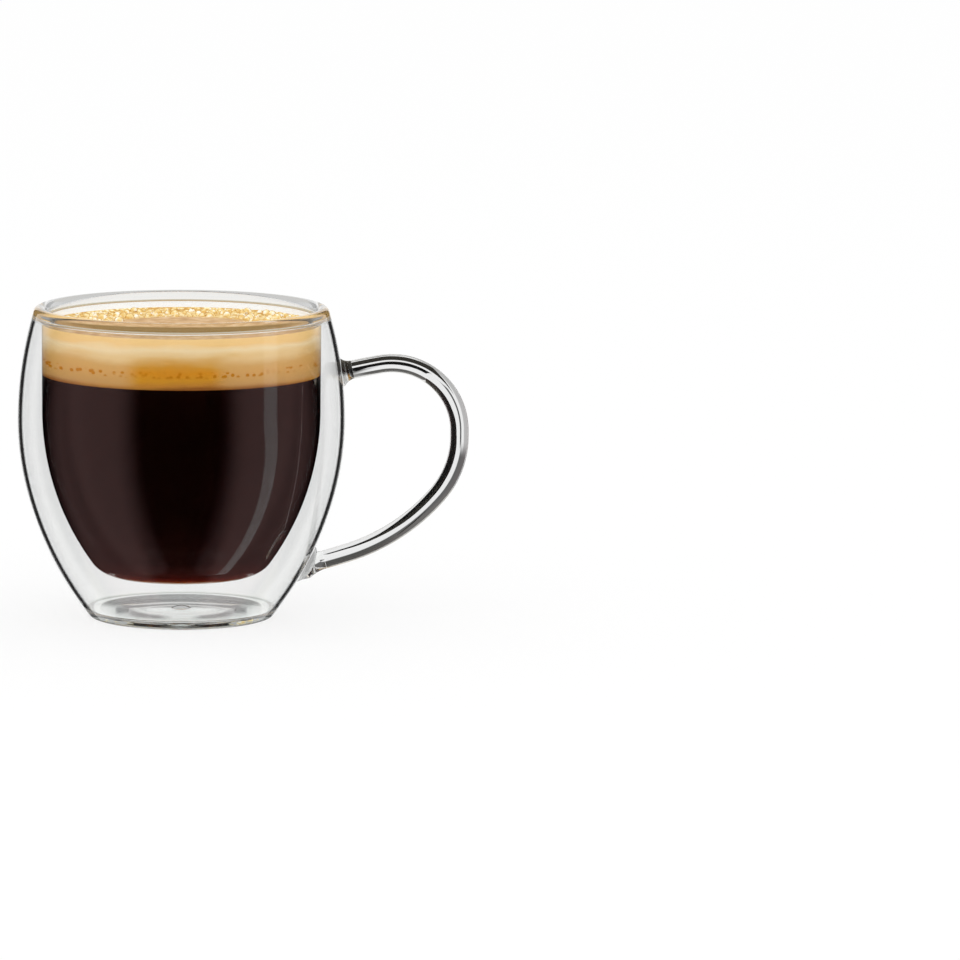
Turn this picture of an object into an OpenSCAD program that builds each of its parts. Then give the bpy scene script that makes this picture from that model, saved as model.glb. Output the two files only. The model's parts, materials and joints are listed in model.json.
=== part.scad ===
// Double walled glass cup with a bent rod handle.
// The cup stands on the plane z = 0, its axis is the z axis and the handle points along +x.
// All sizes are in millimetres and all angles in degrees.

/* [Outer shell] */
// Height of the cup from the table to the top of the lip
body_h = 84; // [80:0.5:90]
// Outside diameter at the widest point
belly_d = 88; // [85:0.5:96]
// Height of the widest point above the table
belly_z = 53.5; // [49:0.5:57]
// Radius of the wall's curve just below the widest point
flank_curve_r = 76; // [60:1:90]
// Turn of the wall over that curve
flank_turn = 13.6; // [8:0.2:18]
// Diameter that the lowest curve of the wall would reach at the table
foot_d = 49; // [46:0.5:54]
// Thickness of the outer wall
shell_wall = 1.1; // [0.9:0.1:1.8]

/* [Inner bowl] */
// Air gap between the two walls at the widest point
wall_gap = 5.5; // [4:0.1:8]
// Thickness of the bowl's wall and floor
bowl_wall = 1.4; // [1.0:0.1:1.8]
// Height of the straight wall below the lip
bowl_straight_h = 24.6; // [20:0.2:29]
// Outside radius of the curve from the straight wall to the corner
bowl_curve_r = 70; // [64:1:80]
// Outside radius of the corner between the curve and the floor
bowl_corner_r = 8; // [5:0.5:11]
// Air space between the bowl's floor and the base
floor_gap = 9.2; // [6:0.2:12]

/* [Lip] */
// Height of the fused lip above the ends of the two walls
lip_h = 3.4; // [2.8:0.1:4.5]
// Air gap between the two walls where they meet the lip
lip_gap = 1.75; // [1:0.05:2.4]
// Radius of the lip's two top edges
lip_round = 1.8; // [1.0:0.1:1.9]

/* [Base] */
// Thickness of the base at its rim
base_t = 2.5; // [2:0.1:3]
// Width of the flat ring under the heel bead, round the base disc
heel_land = 1.3; // [0.8:0.1:3]
// Height of the heel bead, where the outer wall stands on it
heel_h = 4; // [3.8:0.1:6]
// Radius of the heel's outside edge
heel_round = 2.5; // [1.5:0.1:3]
// Radius of the fillet between the base and the wall, in the air gap
heel_fillet = 2; // [1:0.1:2.2]
// Diameter of the hollow under the base
punt_d = 32; // [26:0.5:36]
// Depth of the hollow under the base
punt_depth = 0.9; // [0.6:0.1:1.3]

/* [Vent seal] */
// Diameter of the vent hole in the base
vent_d = 3.2; // [2.4:0.1:4.4]
// Diameter of the seal's button on the inside of the base
vent_button_d = 5.4; // [4.8:0.1:7]
// Height of the seal's button
vent_button_h = 0.7; // [0.4:0.1:1.2]
// How far the seal's tip hangs below the roof of the hollow
vent_tip_h = 0.3; // [0.2:0.05:0.5]

/* [Handle] */
// Diameter of the glass rod
rod_d = 5; // [4:0.1:6]
// Reach of the handle beyond the widest point of the wall
handle_reach = 33.2; // [31:0.2:42]
// Depth below the lip's top where the rod's axis meets the wall at the top
upper_weld_drop = 17.6; // [14:0.1:19]
// Height where the rod's axis meets the wall at the bottom
lower_weld_z = 14.1; // [12:0.1:15.5]
// Centre line radius of the slight arch from the upper weld to the top bend
rise_curve_r = 200; // [120:10:300]
// Slope of the rod where the arch meets the top bend
rise_angle = 10; // [4:0.5:14]
// Least straight length of the grip, for which the bends draw in where the welds are close together
grip_min = 1; // [0.5:0.1:6]
// Centre line radius of the bend at the top
top_bend_r = 18.2; // [15:0.1:22]
// Centre line radius of the bend below the grip
low_bend_r = 23.6; // [19:0.2:28]
// Turn of the bend below the grip
low_bend_angle = 40.5; // [34:0.5:46]
// Centre line radius of the long sweep towards the wall
sweep_r = 53; // [44:1:62]
// Turn of the long sweep
sweep_angle = 32; // [28:0.5:34]
// Centre line radius of the slight curve from the sweep to the lower weld
run_curve_r = 200; // [120:10:300]

/* [Handle welds] */
// Diameter of the upper weld on the wall
upper_weld_d = 7.8; // [6.6:0.2:10]
// Length of the upper weld along the rod
upper_weld_len = 2.8; // [2:0.1:4]
// Diameter of the lower weld's flare along the rod
lower_flare_d = 7.6; // [6.6:0.2:9]
// Length of the lower weld along the rod
lower_weld_len = 5; // [4.2:0.1:5.6]
// Diameter of the lower weld's pad on the wall
pad_d = 10.8; // [9:0.2:13]
// Height of the lower weld's pad on the wall
pad_h = 2.3; // [1.6:0.1:2.8]

/* [Hidden] */

$fn = 192;
glass = [0.86, 0.93, 0.94, 0.45];
weld_glass = [0.70, 0.80, 0.82, 0.6];
rod_glass = [0.78, 0.86, 0.88, 0.5];

// Steps that worked-out radii, heights and angles are rounded to, so that neighbouring curves meet
size_step = 0.01;
height_step = 0.001;
angle_step = 0.01;
function snap(value, step) = round(value / step) * step;

// Room by which a blank runs past what it cuts
past = 4;
// Reach from the axis of a blank that is larger than the cup
blank = body_h + belly_d + sweep_r;

// Lip joint, where both walls end
rim_z = body_h - lip_h;
belly_r = belly_d / 2;
bowl_r = belly_r - shell_wall - wall_gap;
mouth_r = bowl_r - bowl_wall;

// Radius of an arc that starts upright and moves sideways by run over a rise, and of a dome
function bow_r(rise, run) = (pow(rise, 2) + pow(run, 2)) / (2 * run);

// Shoulder arc: upright at the widest point, through the shell's inner edge at the lip joint
shoulder_run = belly_r - shell_wall - bowl_r - lip_gap;
shoulder_r = snap(bow_r(rim_z - belly_z, shoulder_run) + shell_wall, size_step);
shoulder_c = [belly_r - shoulder_r, belly_z];

// Flank arc: upright at the widest point
flank_c = [belly_r - flank_curve_r, belly_z];
flank_out = [cos(flank_turn), -sin(flank_turn)];
flank_end = flank_c + flank_curve_r * flank_out;

// Foot arc: carries on from the flank arc to the foot
foot_run = [foot_d / 2, 0] - flank_end;
foot_curve_r = snap(-(foot_run * foot_run) / (2 * foot_run * flank_out), size_step);
foot_c = flank_end - foot_curve_r * flank_out;

// Outside radius of the shell at a height
function arc_r(centre, radius, z) = centre.x + sqrt(pow(radius, 2) - pow(z - centre.y, 2));
function shell_r(z) =
    z >= belly_z ? arc_r(shoulder_c, shoulder_r, z) :
    z >= flank_end.y ? arc_r(flank_c, flank_curve_r, z) :
    arc_r(foot_c, foot_curve_r, z);

// Where a small circle at height z has its centre, to lie inside a large circle and touch it
function nested_x(big_c, big_r, small_r, z) =
    big_c.x + sqrt(pow(big_r - small_r, 2) - pow(z - big_c.y, 2));
function unit(v) = v / norm(v);

// Bowl: angle of the curve where the corner takes over, and the corner's centre
bowl_floor_z = base_t + floor_gap;
bowl_curve_z = rim_z - bowl_straight_h;
bowl_curve_c = [bowl_r - bowl_curve_r, bowl_curve_z];
bowl_turn = asin((bowl_curve_z - bowl_floor_z - bowl_corner_r) / (bowl_curve_r - bowl_corner_r));
bowl_corner_c = [bowl_curve_c.x + (bowl_curve_r - bowl_corner_r) * cos(bowl_turn),
                 bowl_floor_z + bowl_corner_r];

// Lip: circles of the two top edges, and the rounded end of the air gap
lip_in_c = [mouth_r + lip_round, body_h - lip_round];
lip_out_z = body_h - lip_round;
lip_out_c = [nested_x(shoulder_c, shoulder_r, lip_round, lip_out_z), lip_out_z];
lip_gap_r = (arc_r(shoulder_c, shoulder_r - shell_wall, rim_z) - bowl_r) / 2;
lip_gap_c = [bowl_r + lip_gap_r, rim_z];

// Heel: circles of the outside edge and of the fillet in the air gap
heel_c = [nested_x(foot_c, foot_curve_r, heel_round, heel_round), heel_round];
fillet_z = base_t + heel_fillet;
fillet_c = [nested_x(foot_c, foot_curve_r - shell_wall, heel_fillet, fillet_z), fillet_z];
base_disc_r = snap(heel_c.x - heel_land, size_step);

// Punt: a shallow dome under the base
punt_r = punt_d / 2;
punt_dome_r = snap(bow_r(punt_r, punt_depth), size_step);
punt_dome_z = punt_depth - punt_dome_r;

// Vent seal: the roof of the hollow at the hole's edge, and the domes of the button and the tip
vent_r = vent_d / 2;
vent_roof_z = punt_dome_z + sqrt(pow(punt_dome_r, 2) - pow(vent_r, 2));
button_dome_r = bow_r(vent_button_d / 2, vent_button_h);
tip_dome_r = bow_r(vent_r, vent_tip_h);
vent_top_z = base_t + vent_button_h;
vent_tip_z = vent_roof_z - vent_tip_h;

// Handle centre line in the x z plane, from the upper weld to the lower one:
// an arch, a bend to upright, the grip, a bend, a sweep and a run to the wall
rod_r = rod_d / 2;
grip_x = belly_r + handle_reach - rod_r;
upper_weld_z = body_h - upper_weld_drop;
upper_point = [shell_r(upper_weld_z), upper_weld_z];
lower_point = [shell_r(lower_weld_z), lower_weld_z];
function polar(angle) = [cos(angle), sin(angle)];
function arc_degrees(length, radius) = length / radius * 180 / PI;

// Steps from a bend's centre to the next arc's centre, with angles as the arcs have them there
top_angle = 90 + rise_angle;
sweep_end = -low_bend_angle - sweep_angle;
function to_rise(top_r) = (top_r - rise_curve_r) * polar(top_angle);
function to_sweep(low_r, long_r) = (low_r - long_r) * polar(-low_bend_angle);
function to_run(long_r) = (long_r - run_curve_r) * polar(sweep_end);

// Heights of the bends' centres at which the arch and the run meet the wall at the welds
function top_bend_z(top_r) =
    let (rise_x = grip_x - top_r + to_rise(top_r).x)
    upper_point.y - sqrt(pow(rise_curve_r, 2) - pow(upper_point.x - rise_x, 2)) - to_rise(top_r).y;
function low_bend_z(low_r, long_r) =
    let (down = to_sweep(low_r, long_r) + to_run(long_r),
         run_x = grip_x - low_r + down.x)
    lower_point.y + sqrt(pow(run_curve_r, 2) - pow(lower_point.x - run_x, 2)) - down.y;

// Share of the bends' radii that leaves the grip its least length: all of them, or found by halving
fit_halvings = 24;
function grip_length(fit) = top_bend_z(fit * top_bend_r) - low_bend_z(fit * low_bend_r, fit * sweep_r);
function best_fit(low, high, halvings) =
    let (middle = (low + high) / 2)
    halvings == 0 ? low :
    grip_length(middle) < grip_min ? best_fit(low, middle, halvings - 1) :
    best_fit(middle, high, halvings - 1);
bend_fit = grip_length(1) >= grip_min ? 1 : best_fit(0, 1, fit_halvings);
top_r = snap(bend_fit * top_bend_r, size_step);
low_r = snap(bend_fit * low_bend_r, size_step);
long_r = snap(bend_fit * sweep_r, size_step);

// From the grip up to the wall
top_bend_c = [grip_x - top_r, snap(top_bend_z(top_r), height_step)];
rise_c = top_bend_c + to_rise(top_r);
rise_wall_angle = acos((upper_point.x - rise_c.x) / rise_curve_r);
rise_end_angle = snap(rise_wall_angle - arc_degrees(upper_weld_len, rise_curve_r), angle_step);
rise_end = rise_c + rise_curve_r * polar(rise_end_angle);

// From the grip down to the wall
low_bend_c = [grip_x - low_r, snap(low_bend_z(low_r, long_r), height_step)];
sweep_c = low_bend_c + to_sweep(low_r, long_r);
run_c = sweep_c + to_run(long_r);
run_wall_angle = -acos((lower_point.x - run_c.x) / run_curve_r);
run_end_angle = snap(run_wall_angle + arc_degrees(lower_weld_len, run_curve_r), angle_step);
run_end = run_c + run_curve_r * polar(run_end_angle);

// Lower weld: outward direction of the wall under the pad, and the pad's sphere
wall_out = unit(lower_point - foot_c);
pad_r = bow_r(pad_d / 2, pad_h);
pad_c = lower_point - (pad_r - pad_h) * wall_out;

// The part of a large blank between two heights, on the +x side of the axis
module band(z_low, z_high) {
    translate([0, z_low])
        square([blank, z_high - z_low]);
}

// Moves its children by whole steps and then by the rest, so that a place keeps all its digits
module place(point) {
    coarse = [for (value = point) snap(value, size_step)];
    translate(coarse)
        translate(point - coarse)
            children();
}

// A disc of the section plane
module disc(centre, radius) {
    place(centre)
        circle(radius);
}

// A disc of the section plane, cut to a band of heights
module disc_band(centre, radius, z_low, z_high) {
    intersection() {
        disc(centre, radius);
        band(z_low, z_high);
    }
}

// Half section of all that lies inside the shell's outer face, drawn in by inset
module shell_section(inset, z_low, z_high) {
    flank_low = snap(belly_z - (flank_curve_r - inset) * sin(flank_turn), height_step);
    if (z_high > belly_z)
        disc_band(shoulder_c, shoulder_r - inset, max(belly_z, z_low), z_high);
    if (z_high > flank_low && z_low < belly_z)
        disc_band(flank_c, flank_curve_r - inset, max(flank_low, z_low), min(belly_z, z_high));
    if (z_low < flank_low)
        disc_band(foot_c, foot_curve_r - inset, z_low, min(flank_low, z_high));
}

// What a round edge takes off a corner: the quarter plane beyond the circle's centre, less the circle
module edge_cut(centre, radius, side_dir, level_dir) {
    reach = radius + past;
    difference() {
        place(centre)
            polygon([[0, 0], reach * side_dir, reach * (side_dir + level_dir), reach * level_dir]);
        disc(centre, radius);
    }
}

// Half section of all that lies inside the bowl's outer face, drawn in by inset
module bowl_section(inset) {
    floor_z = bowl_floor_z + inset;
    turn_z = snap(bowl_curve_z - (bowl_curve_r - inset) * sin(bowl_turn), height_step);
    translate([0, bowl_curve_z])
        square([bowl_r - inset, rim_z - bowl_curve_z]);
    disc_band(bowl_curve_c, bowl_curve_r - inset, turn_z, bowl_curve_z);
    disc_band(bowl_corner_c, bowl_corner_r - inset, floor_z, turn_z);
    translate([0, floor_z])
        square([bowl_corner_c.x, turn_z - floor_z]);
}

// A weld's flare about its own z axis: the rod's size at z = 0, widening down to the wall at its length
module flare(foot_d, length) {
    widen = foot_d / 2 - rod_r;
    hollow_r = bow_r(length, widen);
    rotate_extrude()
        difference() {
            translate([0, -length - past])
                square([foot_d / 2, length + past]);
            translate([rod_r + hollow_r, 0])
                circle(hollow_r);
        }
}

// Places its children with their z axis along a direction of the x z plane
module along(point, slope) {
    translate([point.x, 0, point.y])
        rotate([0, 90 - slope, 0])
            children();
}

// A bend of the rod about a centre in the x z plane, between two angles
module rod_bend(centre, radius, from_angle, to_angle) {
    place([centre.x, 0, centre.y])
        rotate([90, 0, 0])
            rotate_extrude(angle = to_angle - from_angle, start = from_angle)
                translate([radius, 0])
                    circle(rod_r);
}

// All that lies inside the shell's outer face
module shell_blank() {
    rotate_extrude()
        shell_section(0, heel_h, rim_z);
}

module inner_bowl() {
    color(glass)
        rotate_extrude()
            difference() {
                bowl_section(0);
                bowl_section(bowl_wall);
            }
}

module outer_shell() {
    color(glass)
        rotate_extrude()
            difference() {
                shell_section(0, heel_h, rim_z);
                shell_section(shell_wall, heel_h, rim_z);
            }
}

// The mouth's own space, which the lip goes round
module mouth_space() {
    translate([0, rim_z - past])
        square([mouth_r, lip_h + 2 * past]);
}

module rim_bead() {
    color(weld_glass)
        rotate_extrude()
            difference() {
                shell_section(0, rim_z, body_h);
                mouth_space();
                edge_cut(lip_in_c, lip_round, [-1, 0], [0, 1]);
                edge_cut(lip_out_c, lip_round, unit(lip_out_c - shoulder_c), [0, 1]);
                disc(lip_gap_c, lip_gap_r);
            }
}

module base_disc() {
    color(glass)
        rotate_extrude()
            difference() {
                translate([vent_r, 0])
                    square([base_disc_r - vent_r, base_t]);
                disc([0, punt_dome_z], punt_dome_r);
            }
}

module heel_bead() {
    color(weld_glass)
        rotate_extrude()
            difference() {
                shell_section(0, 0, heel_h);
                square([base_disc_r, base_t]);
                edge_cut(heel_c, heel_round, unit(heel_c - foot_c), [0, -1]);
                difference() {
                    shell_section(shell_wall, base_t, heel_h);
                    edge_cut(fillet_c, heel_fillet, unit(fillet_c - foot_c), [0, -1]);
                }
            }
}

module vent_seal() {
    color(weld_glass)
        rotate_extrude() {
            intersection() {
                translate([0, vent_tip_z - past])
                    square([vent_r, base_t + vent_button_h / 2 - vent_tip_z + past]);
                disc([0, vent_tip_z + tip_dome_r], tip_dome_r);
            }
            disc_band([0, vent_top_z - button_dome_r], button_dome_r, base_t, vent_top_z + past);
        }
}

module handle_rod() {
    color(rod_glass) {
        rod_bend(rise_c, rise_curve_r, top_angle, rise_end_angle);
        rod_bend(top_bend_c, top_r, 0, top_angle);
        place([grip_x, 0, low_bend_c.y])
            cylinder(r = rod_r, h = top_bend_c.y - low_bend_c.y);
        rod_bend(low_bend_c, low_r, -low_bend_angle, 0);
        rod_bend(sweep_c, long_r, sweep_end, -low_bend_angle);
        rod_bend(run_c, run_curve_r, run_end_angle, sweep_end);
    }
}

module handle_upper_weld() {
    color(weld_glass)
        difference() {
            along(rise_end, rise_end_angle - 90)
                flare(upper_weld_d, upper_weld_len);
            shell_blank();
        }
}

module handle_lower_weld() {
    color(weld_glass)
        difference() {
            union() {
                along(run_end, run_end_angle + 90)
                    flare(lower_flare_d, lower_weld_len);
                translate([pad_c.x, 0, pad_c.y])
                    sphere(pad_r);
            }
            shell_blank();
        }
}

inner_bowl();
outer_shell();
rim_bead();
base_disc();
heel_bead();
vent_seal();
handle_rod();
handle_upper_weld();
handle_lower_weld();
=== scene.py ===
"""Looks of the double walled glass cup, filled with coffee under a thick crema."""
import json
import math
import random

import bmesh
import bpy
from mathutils import Euler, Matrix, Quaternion, Vector


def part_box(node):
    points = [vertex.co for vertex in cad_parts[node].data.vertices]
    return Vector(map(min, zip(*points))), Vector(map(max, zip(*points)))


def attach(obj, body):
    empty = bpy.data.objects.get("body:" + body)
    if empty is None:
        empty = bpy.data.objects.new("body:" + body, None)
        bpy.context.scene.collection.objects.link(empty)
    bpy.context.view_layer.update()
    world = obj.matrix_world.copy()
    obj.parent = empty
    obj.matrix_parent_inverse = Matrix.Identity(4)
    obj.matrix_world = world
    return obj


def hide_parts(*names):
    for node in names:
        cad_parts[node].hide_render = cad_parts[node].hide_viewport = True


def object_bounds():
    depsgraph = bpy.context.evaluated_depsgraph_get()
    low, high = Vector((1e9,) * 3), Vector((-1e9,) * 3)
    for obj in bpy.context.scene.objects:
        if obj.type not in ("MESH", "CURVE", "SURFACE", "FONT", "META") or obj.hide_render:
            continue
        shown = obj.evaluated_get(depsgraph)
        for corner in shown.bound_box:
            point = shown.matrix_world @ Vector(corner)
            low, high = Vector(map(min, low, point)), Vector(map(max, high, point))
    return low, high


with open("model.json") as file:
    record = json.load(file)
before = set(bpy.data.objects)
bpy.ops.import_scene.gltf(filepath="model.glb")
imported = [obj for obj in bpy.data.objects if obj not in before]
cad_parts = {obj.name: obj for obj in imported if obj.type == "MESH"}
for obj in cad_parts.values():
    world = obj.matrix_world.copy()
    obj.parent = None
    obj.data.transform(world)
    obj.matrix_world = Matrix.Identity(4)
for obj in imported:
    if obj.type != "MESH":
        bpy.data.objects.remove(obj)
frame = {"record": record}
cad_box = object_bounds()

MM = 0.001
TURN = 2 * math.pi

# Sizes of the glass that its boxes in the frame give
BODY_H = cad_box[1].z
BELLY_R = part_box("outer_shell")[1].y
RIM_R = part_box("rim_bead")[1].y
RIM_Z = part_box("rim_bead")[0].z
HEEL_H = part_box("heel_bead")[1].z
BOWL_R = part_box("inner_bowl")[1].y
BOWL_FLOOR_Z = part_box("inner_bowl")[0].z
BASE_DISC_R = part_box("base_disc")[1].y
BASE_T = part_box("base_disc")[1].z
VENT_TIP_Z, VENT_TOP_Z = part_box("vent_seal")[0].z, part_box("vent_seal")[1].z
BUTTON_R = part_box("vent_seal")[1].y
ROD_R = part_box("handle_rod")[1].y
GRIP_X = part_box("handle_rod")[1].x - ROD_R
MOUTH_R = next(m for m in frame["record"]["mounts"] if m["name"] == "mouth")["dims"]["r_mm"] * MM

# Sizes of the glass that its boxes don't show
BELLY_Z = 53.5 * MM
SHELL_WALL = 1.1 * MM
FLANK_R = 76 * MM
FLANK_TURN = math.radians(13.6)
FOOT_R = 24.5 * MM
BOWL_WALL = BOWL_R - MOUTH_R
BOWL_STRAIGHT_H = 24.6 * MM
BOWL_CURVE_R = 70 * MM
BOWL_CORNER_R = 8 * MM
LIP_ROUND = 1.8 * MM
HEEL_ROUND = 2.5 * MM
HEEL_FILLET = 2 * MM
PUNT_R = 16 * MM
PUNT_DEPTH = 0.9 * MM
VENT_R = 1.6 * MM
VENT_TIP_H = 0.3 * MM

# Handle: weld heights, arcs of the centre line and welds
UPPER_WELD_Z = BODY_H - 17.6 * MM
LOWER_WELD_Z = 14.1 * MM
RISE_R = 200 * MM
RISE_ANGLE = math.radians(10)
TOP_BEND_R = 18.2 * MM
LOW_BEND_R = 23.6 * MM
LOW_BEND_ANGLE = math.radians(40.5)
SWEEP_R = 53 * MM
SWEEP_ANGLE = math.radians(32)
RUN_R = 200 * MM
UPPER_WELD_R, UPPER_WELD_LEN = 3.9 * MM, 2.8 * MM
LOWER_FLARE_R, LOWER_WELD_LEN = 3.8 * MM, 5 * MM
PAD_R, PAD_H = 5.4 * MM, 2.3 * MM

# Filling
COFFEE_Z = 66 * MM
CREMA_Z = 78.6 * MM
CREMA_CLIMB = 0.9 * MM
CLIMB_W = 5 * MM
WETTING = 0.08 * MM
BUBBLES = 420
BUBBLE_SEED = 11
BUBBLE_R = (0.2 * MM, 1.35 * MM)
BUBBLE_SMALLNESS = 4
BUBBLE_EDGE = 0.4 * MM
BUBBLE_BAND = 14 * MM
BUBBLE_CROWDING = 1.7
BUBBLE_ARC = (math.radians(8), math.radians(172))

# How finely round shapes are cut, and how closely they are joined
LATHE_STEPS = 192
ROD_SIDES = 48
ROD_STEP = 0.8 * MM
SAG = 0.004 * MM
MERGE = 0.002 * MM
WELD_SINK = 0.08 * MM
FUSED_NEAR = 0.01 * MM

# Glass: how strongly it bends light, its tints, the dark greys that are painted shade in the heel, base and
# weld, and the heights between which the upper weld's painted shade darkens
GLASS_IOR = 1.47
SEAL_IOR = 1.15
WALL_CLEAR = (0.985, 0.99, 0.988)
WORKED_CLEAR = (0.975, 0.985, 0.98)
ROD_CLEAR = (0.98, 0.985, 0.985)
SEAL_GREY = (0.9, 0.92, 0.91)
HEEL_GREY = (0.8, 0.84, 0.82)
# The heel's darker ring below is painted shade
HEEL_SHADE_RING = (0.36, 0.39, 0.37)
# The upper weld's near black below is painted shade, for the dark studio seen through it
WELD_SHADE = (0.02, 0.02, 0.02)
# The dark grey below is the painted shade and painted reflections of the base
BASE_SHADE_GREY = (0.03, 0.034, 0.032, 1)
WELD_SHADE_Z = (UPPER_WELD_Z - 0.9 * MM, UPPER_WELD_Z + 0.1 * MM)

# Rings of the base, as shares of its radius with their grey; the darker rings are painted shade
BASE_RINGS = (
    (0.0, 0.9), (0.4, 0.88), (0.48, 0.72), (0.56, 0.88),
    (0.65, 0.86), (0.685, 0.6), (0.72, 0.76), (0.95, 0.72),
)

# Painted shade and painted reflections on the base: a range is low, high and softness, and an edge is a place
# and softness
SPOT_X = (14 * MM, 17.5 * MM, 1 * MM)
SPOT_Y = (-8 * MM, 0, 4 * MM)
STREAK_X = (4 * MM, 14 * MM, 5 * MM)
STREAK_R = (13.5 * MM, 18 * MM, 3 * MM)
CRESCENT_AHEAD = 19 * MM
CRESCENT_R = (30.5 * MM, 1.5 * MM)

# Crema, with ranges and edges as above; its low part and its row of dots are shares of its height
MIDDLE_X = (-13 * MM, 10 * MM, 6 * MM)
LOW_PART = (0.06, 0.7, 0.12)
DOT_ROW = (0.25, 0.37, 0.05)
FROTH_R = (22 * MM, 6 * MM)
FROTH_Y = (4 * MM, 12 * MM)
CLOUD_DRIFT = 0.3
SIDE_PALENESS = 0.7

# Painted shade: what the lip shows of the crema as olive, out to a radius that grows towards the sides
OLIVE_R = 28 * MM
OLIVE_SPREAD = 6.6 * MM
OLIVE_SIDE = 33 * MM
OLIVE_POWER = 2.6
OLIVE_SOFT = 2 * MM

# Grain of the foam, as scales of noise and of cells
CLOUDS = 70.0
SPOTS = 320.0
SPECKS_AND_GLINTS = 600.0
DOT_CELLS = 640.0
FROTH_CELLS = 760.0

# Colours as on a screen
DOT_ORANGE = (212, 141, 10)
# The lip's olive below is painted shade on the crema
LIP_OLIVE_SHADE = (142, 108, 44)
BUBBLE_GOLD = (206, 154, 66)
TAN_CEILING = (196, 160, 112)
PALE_CEILING = (200, 192, 172)

# Photograph: 960 pixels square, the lens that fits it, and the pixel where the cup's axis stands
IMAGE = 960
SENSOR = 36
LENS = 274.5
EYE = Vector((0, -1.95, 0.318))
AXIS_POINT = Vector((0, 0, 0.04))
AXIS_PIXEL = (181.4, 468.9)
LEAN = math.radians(0.4)

# Lamp and floor
SOFT_LIGHT = 1.15
LAMP_POWER = 2
LAMP_SIZE = 1.2
LAMP_PLACE = (-0.5, -0.5, 1.3)
FLOOR_SIZE = 12
FLOOR_Z = -0.06 * MM
FLOOR_WHITE = 0.75
NEAR_FLOOR_R = 45 * MM
NEAR_FLOOR_Z = -0.05 * MM

# Limits on how many surfaces light has met, by which what it sees is chosen
BOUNCED = 0.5
BOUNCED_TWICE = 1.5
BOUNCED_OFTEN = 3.5
THROUGH_ANY = 0.5
THROUGH_SOLID = 2.5
THROUGH_WALL = 3.5
TRAPPED = 20

# How many surfaces light is followed through
BOUNCES = 48
GLASS_BOUNCES = 32

# Surroundings in degrees: side is 0 straight behind and positive to the right, rise is up from level
SIGHT_SIDE, SIGHT_RISE = 2.2, -8.2
LEVEL = (-45.0, 40.0, 6.0)
LOW_LEVEL = (-75.0, 40.0, 6.0)
CEILING_EDGE = (22.0, 6.0)
FLAG_TURN = 45.0
FLAG_EDGE = (16.0, 1.0)
OPEN_SIDE = (-35.0, 35.0, 2.0)
OPEN_EDGE = (-17.0, 2.0)
SOFT_BOX = (40.0, 104.0, 20.0)
BESIDE_EDGE = (58.0, 16.0)
NEAR_FLAG = (13.0, 28.0, 2.0)
BEHIND = 10.0
STRIP = (98.0, 112.0, 2.0)
STRIP_LEAN = -0.4

# What solid glass shows, by which way it bends the line of sight, 0 left and 90 up, and how far
LEFT_SIDE = (-80.0, -18.0, 6.0)
UP_LEFT_FROM = (8.0, 10.0)
UP_LEFT_TO = (76.0, 3.0)
UP_LEFT_BEND = (8.5, 50.0, 4.0)
UP_LEFT_DARKER = (56.0, 12.0)
LINE_WAY = (-35.0, 8.0, 6.0)
LINE_BEND = (2.5, 8.5, 1.0)
UP_WAY = (76.0, 125.0, 3.0)
UP_BEND = (24.0, 55.0, 3.0)

# Black cards behind the handle: distance of the upright ones, and corners as x and z, in mm
CARDS = {
    "arch_card": (100, ((46, 70), (51, 63), (64, 65), (73, 60), (64, 43), (46, 45))),
    "grip_card": (
        50,
        (
            (78, 75), (84, 66), (88, 55), (86, 44), (80, 26), (66, 14), (59, 5), (50, -4), (45, -6.5),
            (45, -12.5), (52, -11.5), (65, -6.5), (86, -11), (150, -20), (150, 115), (110, 115),
        ),
    ),
}
LOW_CARD_X = (50 * MM, 62 * MM)
LOW_CARD_Y = (42 * MM, 104 * MM)
LOW_CARD_Z = 30 * MM


def deselect():
    bpy.ops.object.select_all(action="DESELECT")


def only(piece):
    deselect()
    piece.select_set(True)
    bpy.context.view_layer.objects.active = piece


def edit_mode():
    bpy.ops.object.mode_set(mode="EDIT")


def object_mode():
    bpy.ops.object.mode_set(mode="OBJECT")


def near(a, b):
    return abs(a - b) < FUSED_NEAR


def polar(angle):
    """Direction at an angle in the x z plane, as x and z."""
    return Vector((math.cos(angle), math.sin(angle)))


def angle_of(direction):
    return math.atan2(direction.y, direction.x)


def bow_r(rise, run):
    """Radius of an arc that starts upright and moves sideways by run over a rise."""
    return (rise**2 + run**2) / (2 * run)


def arc_x(centre, radius, z):
    return centre.x + math.sqrt(radius**2 - (z - centre.y) ** 2)


def nested_x(centre, radius, small_r, z):
    """Where a small circle at height z has its centre, to lie inside a large circle and touch it."""
    return arc_x(centre, radius - small_r, z)


# Arcs of the outer wall, as centres in the x z plane
SHOULDER_R = bow_r(RIM_Z - BELLY_Z, BELLY_R - RIM_R)
SHOULDER_C = Vector((BELLY_R - SHOULDER_R, BELLY_Z))
FLANK_C = Vector((BELLY_R - FLANK_R, BELLY_Z))
FLANK_OUT = polar(-FLANK_TURN)
FLANK_END = FLANK_C + FLANK_R * FLANK_OUT
FOOT_STEP = Vector((FOOT_R, 0)) - FLANK_END
FOOT_CURVE_R = -FOOT_STEP.length_squared / (2 * FOOT_STEP.dot(FLANK_OUT))
FOOT_C = FLANK_END - FOOT_CURVE_R * FLANK_OUT

# Arcs of the bowl
BOWL_CURVE_Z = RIM_Z - BOWL_STRAIGHT_H
BOWL_CURVE_C = Vector((BOWL_R - BOWL_CURVE_R, BOWL_CURVE_Z))
BOWL_TURN = math.asin((BOWL_CURVE_Z - BOWL_FLOOR_Z - BOWL_CORNER_R) / (BOWL_CURVE_R - BOWL_CORNER_R))
BOWL_CORNER_C = BOWL_CURVE_C + (BOWL_CURVE_R - BOWL_CORNER_R) * polar(-BOWL_TURN)

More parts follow.
